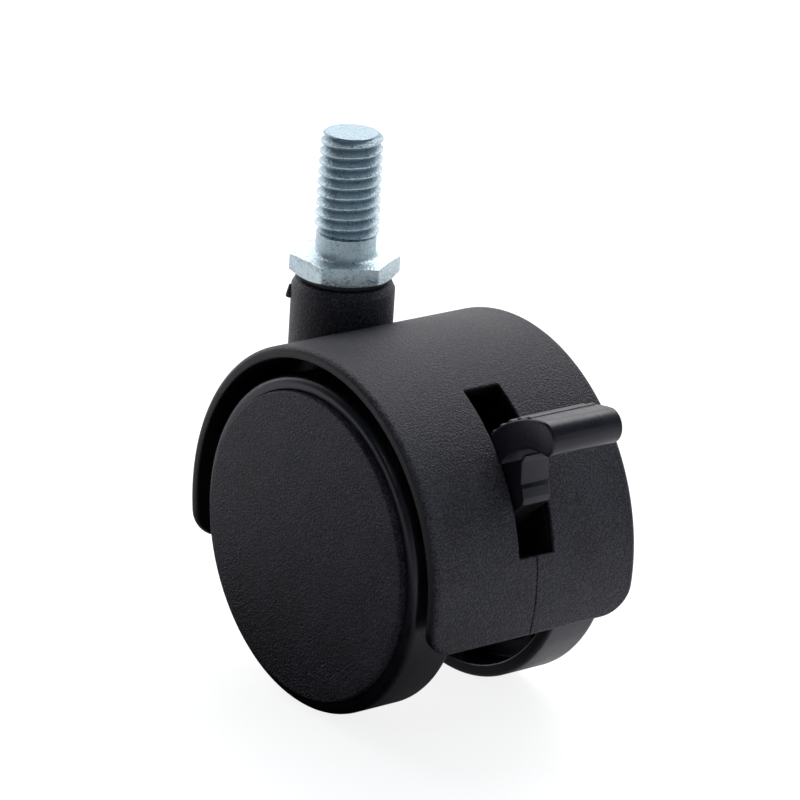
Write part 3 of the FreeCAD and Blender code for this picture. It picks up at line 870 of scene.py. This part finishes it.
def grained_nylon(name, light, low_rough, high_rough, depth_mm):
    """Black nylon with a fine spark-eroded grain of that depth; pale specks painted on the grain's
    high points stand in for its glints.
    """
    material, tree, shader, coords = node_material(name, 0.5)
    pebbles = cells(tree, coords, grain_pebble_mm)
    fine = noise(tree, coords, grain_speck_mm, 2.0, 0.6)
    broad = noise(tree, coords, 6.0, 3.0, 0.5)
    grain = maths(tree, "ADD", maths(tree, "MULTIPLY", pebbles, 0.7), fine)
    shade = weighted(tree, grain, 0.75, broad, 0.4)
    # Painted highlight: the pale specks on the grain's high points stand in for glints; the broad
    # noise gives the grain's own random tone.
    colour = colour_ramp(tree, shade, [(0.72, grain_shadow), (0.95, light)])
    tree.links.new(colour, shader.inputs["Base Color"])
    rough = remap(tree, maths(tree, "ADD", grain, broad), 0.7, 1.6, low_rough, high_rough)
    tree.links.new(rough, shader.inputs["Roughness"])
    shader.inputs["Specular Tint"].default_value = nylon_tint
    bump(tree, shader, grain, depth_mm)
    return material


def axis_distance(tree, axis_place, across):
    """Distance from an axis through axis_place; across is 1 in the axis' normal plane."""
    coords = tree.nodes.new("ShaderNodeTexCoord").outputs["Object"]
    shifted = tree.nodes.new("ShaderNodeVectorMath")
    shifted.operation = "SUBTRACT"
    shifted.inputs[1].default_value = axis_place
    tree.links.new(coords, shifted.inputs[0])
    flat = tree.nodes.new("ShaderNodeVectorMath")
    flat.operation = "MULTIPLY"
    flat.inputs[1].default_value = across
    tree.links.new(shifted.outputs["Vector"], flat.inputs[0])
    length = tree.nodes.new("ShaderNodeVectorMath")
    length.operation = "LENGTH"
    tree.links.new(flat.outputs["Vector"], length.inputs[0])
    return length.outputs["Value"]


def blended_colour(tree, factor, first, second):
    """Colour that goes from first to second; second is a socket."""
    mix = tree.nodes.new("ShaderNodeMix")
    mix.data_type = "RGBA"
    inlets = {socket.identifier: socket for socket in mix.inputs}
    inlets["A_Color"].default_value = (*first, 1.0)
    tree.links.new(factor, inlets["Factor_Float"])
    tree.links.new(second, inlets["B_Color"])
    return next(socket for socket in mix.outputs if socket.identifier == "Result_Color")


def hood_nylon():
    """The grained nylon, smoother on every face under the hood's outer skin, where a darker colour
    is painted as shade.
    """
    material = grained_nylon("hood_grain", (0.05, 0.049, 0.06), 0.34, 0.54, 0.16)
    tree = material.node_tree
    shader = tree.nodes["Principled BSDF"]
    hood_axis = wheel_centre + Vector((hood_centre_x, 0.0, hood_centre_z)) * MM
    skin_low, skin_high = (hood_outer_radius - 0.5) * MM, (hood_outer_radius - 0.15) * MM
    skin = remap(
        tree, axis_distance(tree, hood_axis, (1.0, 0.0, 1.0)), skin_low, skin_high, 0.0, 1.0)
    grain_colour = shader.inputs["Base Color"].links[0].from_socket
    # Painted shade: the hood's edge ring and every face inside the hood get a darker colour than
    # the grain.
    tree.links.new(blended_colour(tree, skin, (0.0015, 0.0015, 0.002), grain_colour),
                   shader.inputs["Base Color"])
    relief = shader.inputs["Normal"].links[0].from_node
    tree.links.new(remap(tree, skin, 0.0, 1.0, 0.12, 1.0), relief.inputs["Strength"])
    return material


def smooth_nylon():
    """Black nylon moulded against a polished tool, with faint flow marks and rubbed patches."""
    material, tree, shader, coords = node_material("smooth_black_nylon", 0.32)
    flow = noise(tree, coords, 3.0, 4.0, 0.55)
    fine = noise(tree, coords, 0.3, 2.0, 0.6)
    colour = colour_ramp(tree, maths(tree, "ADD", maths(tree, "MULTIPLY", fine, 0.4), flow), [
        (0.45, (0.004, 0.004, 0.006)), (0.95, (0.013, 0.0125, 0.017))])
    tree.links.new(colour, shader.inputs["Base Color"])
    rough = remap(tree, maths(tree, "ADD", flow, fine), 0.7, 1.3, 0.26, 0.40)
    tree.links.new(rough, shader.inputs["Roughness"])
    shader.inputs["Specular Tint"].default_value = nylon_tint
    first = bump(tree, shader, flow, 0.03)
    bump(tree, shader, fine, 0.012, first)
    return material


def zinc_plate():
    """Bright zinc with a faint blue tint, painted duller and darker in the roots of the thread as
    shade.
    """
    material, tree, shader, coords = node_material("zinc_plate", 0.4, 0.85)
    cloud = noise(tree, coords, 1.1, 4.0, 0.65)
    fine = noise(tree, coords, 0.3, 3.0, 0.6)
    marks = noise(tree, coords, 0.4, 2.0, 0.5, (1.0, 1.0, 0.1))
    colour = colour_ramp(tree, weighted(tree, cloud, 0.5, fine, 0.5), [
        (0.3, (0.3, 0.42, 0.52)), (0.62, (0.86, 0.95, 0.98)), (0.48, (0.66, 0.8, 0.87))])
    # Painted shade: below the crests the thread takes a darker, bluer colour towards its roots; the
    # tip's chamfer keeps a little of the plain colour.
    crest = remap(tree, axis_distance(tree, (0.0, 0.0, 0.0), (1.0, 1.0, 0.0)),
                  (stem_radius - thread_depth) * MM, (stem_radius - 0.1) * MM, 0.0, 1.0)
    height = tree.nodes.new("ShaderNodeSeparateXYZ")
    tree.links.new(coords, height.inputs["Vector"])
    tip_z = stem_high.z - seat_z
    tip_low, tip_high = (tip_z - stem_tip_chamfer) * MM, (tip_z - 0.3) * MM
    tip = remap(tree, height.outputs["Z"], tip_low, tip_high, 0.0, 0.2)
    bright = maths(tree, "MAXIMUM", crest, tip)
    tree.links.new(
        blended_colour(tree, bright, (0.27, 0.37, 0.44), colour), shader.inputs["Base Color"])
    rough = remap(tree, maths(tree, "ADD", cloud, fine), 0.7, 1.3, 0.22, 0.42)
    tree.links.new(rough, shader.inputs["Roughness"])
    first = bump(tree, shader, marks, 0.08)
    bump(tree, shader, fine, 0.12, first)
    return material


def steel(name, dark, light, low_rough, high_rough):
    """Drawn or rolled steel with fine streaks."""
    material, tree, shader, coords = node_material(name, 0.35, 1.0)
    streaks = noise(tree, coords, 0.4, 3.0, 0.6, (1.0, 0.1, 1.0))
    patches = noise(tree, coords, 2.5, 3.0, 0.5)
    colour = colour_ramp(tree, patches, [(0.35, dark), (0.7, light)])
    tree.links.new(colour, shader.inputs["Base Color"])
    rough = remap(tree, maths(tree, "ADD", streaks, patches), 0.7, 1.3, low_rough, high_rough)
    tree.links.new(rough, shader.inputs["Roughness"])
    bump(tree, shader, streaks, 0.01)
    return material


def grey_nylon():
    """Dark grey nylon of the thrust washer."""
    material, tree, shader, coords = node_material("grey_nylon", 0.45)
    cloud = noise(tree, coords, 1.2, 3.0, 0.5)
    colour = colour_ramp(tree, cloud, [(0.35, (0.006, 0.006, 0.007)), (0.7, (0.014, 0.014, 0.015))])
    tree.links.new(colour, shader.inputs["Base Color"])
    tree.links.new(remap(tree, cloud, 0.3, 0.7, 0.38, 0.55), shader.inputs["Roughness"])
    bump(tree, shader, cloud, 0.01)
    return material


# ================================================================ pieces
def place(shape, name, body, node, material, sharp=38):
    """Puts a finished shape in the row frame, in place of its CAD node."""
    shape.name = name
    shape.data.name = name
    shape.data.transform(ROW_FROM_WHEEL)
    shape.data.materials.clear()
    shape.data.materials.append(material)
    shape.data.polygons.foreach_set("use_smooth", [True] * len(shape.data.polygons))
    shape.data.set_sharp_from_angle(angle=math.radians(sharp))
    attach(shape, body)
    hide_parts(node)
    return shape


def carried_over(names, material):
    """CAD nodes that are shown as they are, with a worked material."""
    for name in names:
        node = frame["nodes"][name]
        node.data.materials.clear()
        node.data.materials.append(material)


hood_grain = hood_nylon()
cover_grain = grained_nylon("cover_grain", (0.055, 0.053, 0.075), 0.36, 0.56, 0.26)
smooth = smooth_nylon()
zinc = zinc_plate()
bright = steel("bright_steel", (0.4, 0.41, 0.43), (0.68, 0.69, 0.71), 0.22, 0.4)
spring = steel("spring_steel", (0.1, 0.1, 0.11), (0.25, 0.25, 0.27), 0.3, 0.5)

place(housing(), "grained_housing", "swivel_housing", "housing",
      hood_grain)
place(threaded_stem(), "zinc_stem", "stem", "threaded_stem", zinc, 32)
place(thrust_washer(), "washer_under_hexagon", "swivel_housing", "thrust_washer",
      grey_nylon())
place(brake_lever(), "pedal_lever", "brake", "brake_lever", smooth)
for side_name, side in (("left", -1), ("right", 1)):
    body = side_name + "_wheel_set"
    place(wheel(side), side_name + "_tread_wheel", body, side_name + "_wheel",
          smooth)
    place(wheel_cover(side), side_name + "_grained_cover", body, side_name + "_wheel_cover",
          cover_grain)
carried_over(["axle_pin", "brake_pivot_pin", "brake_rod", "left_hub_washer", "right_hub_washer"],
             bright)
carried_over(["stem_snap_ring", "left_push_nut", "right_push_nut"], spring)


# ================================================================ floor, light and camera
floor_reach = 4.0
# The shadow painted on the floor for reflections: its centre and its radii.
painted_shadow_place = (0.01, -0.045, 0.0)      # where the cover's reflection meets the floor
painted_shadow_radii = (0.035, 0.07)            # from all dark to all pale
behind_object = (-0.776, 0.631, 0.0)        # as seen from the camera
lit_side = (0.5, 0.866, 0.0)
straight_down = (0.0, 0.0, -1.0)


def towards(tree, ray, facing, low, high):
    """0 to 1 as a direction turns towards facing, between two values of their product."""
    dot = tree.nodes.new("ShaderNodeVectorMath")
    dot.operation = "DOT_PRODUCT"
    dot.inputs[1].default_value = facing
    tree.links.new(ray, dot.inputs[0])
    ease = tree.nodes.new("ShaderNodeMapRange")
    ease.interpolation_type = "SMOOTHSTEP"
    ease.inputs["From Min"].default_value = low
    ease.inputs["From Max"].default_value = high
    tree.links.new(dot.outputs["Value"], ease.inputs["Value"])
    return ease.outputs["Result"]


def studio_floor():
    """Pale floor: white to the camera; in reflections it glows pale, with a shadow painted as a
    dark patch before the cover.
    """
    bm = bmesh.new()
    corners = [(-1, -1), (1, -1), (1, 1), (-1, 1)]
    bm.faces.new([bm.verts.new((x * floor_reach, y * floor_reach, floor_z)) for x, y in corners])
    mesh = bpy.data.meshes.new("studio_floor")
    bm.to_mesh(mesh)
    bm.free()
    floor = bpy.data.objects.new("studio_floor", mesh)
    bpy.context.scene.collection.objects.link(floor)
    material = bpy.data.materials.new("studio_floor")
    material.use_nodes = True
    tree = material.node_tree
    shader = tree.nodes["Principled BSDF"]
    shader.inputs["Roughness"].default_value = 0.9
    shader.inputs["Specular IOR Level"].default_value = 0.0
    seen = tree.nodes.new("ShaderNodeLightPath").outputs["Is Camera Ray"]
    unseen = maths(tree, "SUBTRACT", 1.0, seen)
    # Painted shadow: inside the patch the floor is darker and glows less for reflections.
    from_painted_shadow = axis_distance(tree, painted_shadow_place, (1.0, 1.0, 0.0))
    lit = remap(tree, from_painted_shadow, *painted_shadow_radii, 0.0, 1.0)
    reflected = maths(tree, "ADD", maths(tree, "MULTIPLY", lit, 0.85), 0.03)
    pale = weighted(tree, maths(tree, "MULTIPLY", reflected, unseen), 1.0, seen, 0.5)
    grey = tree.nodes.new("ShaderNodeCombineColor")
    for channel in grey.inputs:
        tree.links.new(pale, channel)
    tree.links.new(grey.outputs["Color"], shader.inputs["Base Color"])
    shader.inputs["Emission Color"].default_value = (1.0, 1.0, 1.0, 1.0)
    glow = weighted(tree, maths(tree, "MULTIPLY", lit, unseen), 0.27, seen, 0.85)
    tree.links.new(glow, shader.inputs["Emission Strength"])
    behind = tree.nodes.new("ShaderNodeNewGeometry").outputs["Backfacing"]
    clear = tree.nodes.new("ShaderNodeBsdfTransparent")
    mix = tree.nodes.new("ShaderNodeMixShader")
    tree.links.new(behind, mix.inputs[0])
    tree.links.new(shader.outputs[0], mix.inputs[1])
    tree.links.new(clear.outputs[0], mix.inputs[2])
    tree.links.new(mix.outputs[0], tree.nodes["Material Output"].inputs["Surface"])
    mesh.materials.append(material)


def studio_world():
    """White to the camera; in reflections bright behind the object, dim and bluish before it."""
    world = bpy.data.worlds.new("studio")
    world.use_nodes = True
    bpy.context.scene.world = world
    tree = world.node_tree
    background = tree.nodes["Background"]
    ray = tree.nodes.new("ShaderNodeTexCoord").outputs["Generated"]
    backdrop = towards(tree, ray, behind_object, 0.1, 0.8)
    table = towards(tree, ray, straight_down, -0.1, 0.3)
    around = maths(tree, "MULTIPLY", towards(tree, ray, lit_side, -0.6, 0.3),
                   remap(tree, table, 0.0, 1.0, 0.16, 0.6))
    level = maths(tree, "ADD", 0.03, around)
    mixed = tree.nodes.new("ShaderNodeMix")
    tree.links.new(backdrop, mixed.inputs["Factor"])
    tree.links.new(level, mixed.inputs["A"])
    mixed.inputs["B"].default_value = 1.2
    seen = tree.nodes.new("ShaderNodeLightPath").outputs["Is Camera Ray"]
    strength = maths(tree, "MAXIMUM", mixed.outputs["Result"], seen)
    tree.links.new(strength, background.inputs["Strength"])
    tint = colour_ramp(tree, strength, [(0.05, (0.6, 0.8, 1.0)), (0.7, (1.0, 1.0, 1.0))])
    tree.links.new(tint, background.inputs["Color"])


def softbox(name, azimuth, elevation, distance, width, height, power):
    """Area light aimed at the object; azimuth as for the camera, distance in metres."""
    light = bpy.data.lights.new(name, "AREA")
    light.shape = "RECTANGLE"
    light.size = width
    light.size_y = height
    light.energy = power
    lamp = bpy.data.objects.new(name, light)
    bpy.context.scene.collection.objects.link(lamp)
    away = direction(azimuth, elevation)
    lamp.location = view_target + away * distance
    lamp.rotation_euler = away.to_track_quat("Z", "Y").to_euler()


def direction(azimuth, elevation):
    """Unit vector away from the object; azimuth 0 is seen along +Y, 90 along -X."""
    a, e = math.radians(azimuth), math.radians(elevation)
    return Vector((math.sin(a) * math.cos(e), -math.cos(a) * math.cos(e), math.sin(e)))


def studio_camera(azimuth, elevation, roll, distance, lens):
    data = bpy.data.cameras.new("studio_camera")
    data.lens = lens
    data.sensor_width = 36.0
    data.clip_start = 0.01
    data.clip_end = 20.0
    camera = bpy.data.objects.new("studio_camera", data)
    bpy.context.scene.collection.objects.link(camera)
    back = direction(azimuth, elevation)
    right = Vector((0, 0, 1)).cross(back).normalized()
    up = back.cross(right)
    turn = math.radians(roll)
    tilted_right = right * math.cos(turn) + up * math.sin(turn)
    tilted_up = up * math.cos(turn) - right * math.sin(turn)
    rotation = Matrix((tilted_right, tilted_up, back)).transposed().to_4x4()
    camera.matrix_world = Matrix.Translation(view_target + back * distance) @ rotation
    bpy.context.scene.camera = camera


view_target = wheel_centre + Vector((-3.09, 0.05, 14.43)) * MM
studio_camera(azimuth=50.9, elevation=20.0, roll=3.67, distance=0.5802, lens=223.1)
studio_floor()
studio_world()
# name, azimuth, elevation, distance, width, height, power
for lamp in (
        ("overhead_far", 218, 52, 0.45, 0.35, 0.3, 0.9),
        ("rim_side", 16, 38, 0.4, 0.05, 0.05, 0.045),
        ("left_high", -77, 42, 0.4, 0.12, 0.2, 0.04),
        ("left_low", -86, 8, 0.35, 0.2, 0.2, 0.14),
        ("front_low", 67, 6, 0.35, 0.14, 0.1, 0.025),
        ("pedal_side", 125, 12, 0.4, 0.12, 0.12, 0.03)):
    softbox(*lamp)
bpy.context.scene.view_settings.view_transform = "Standard"
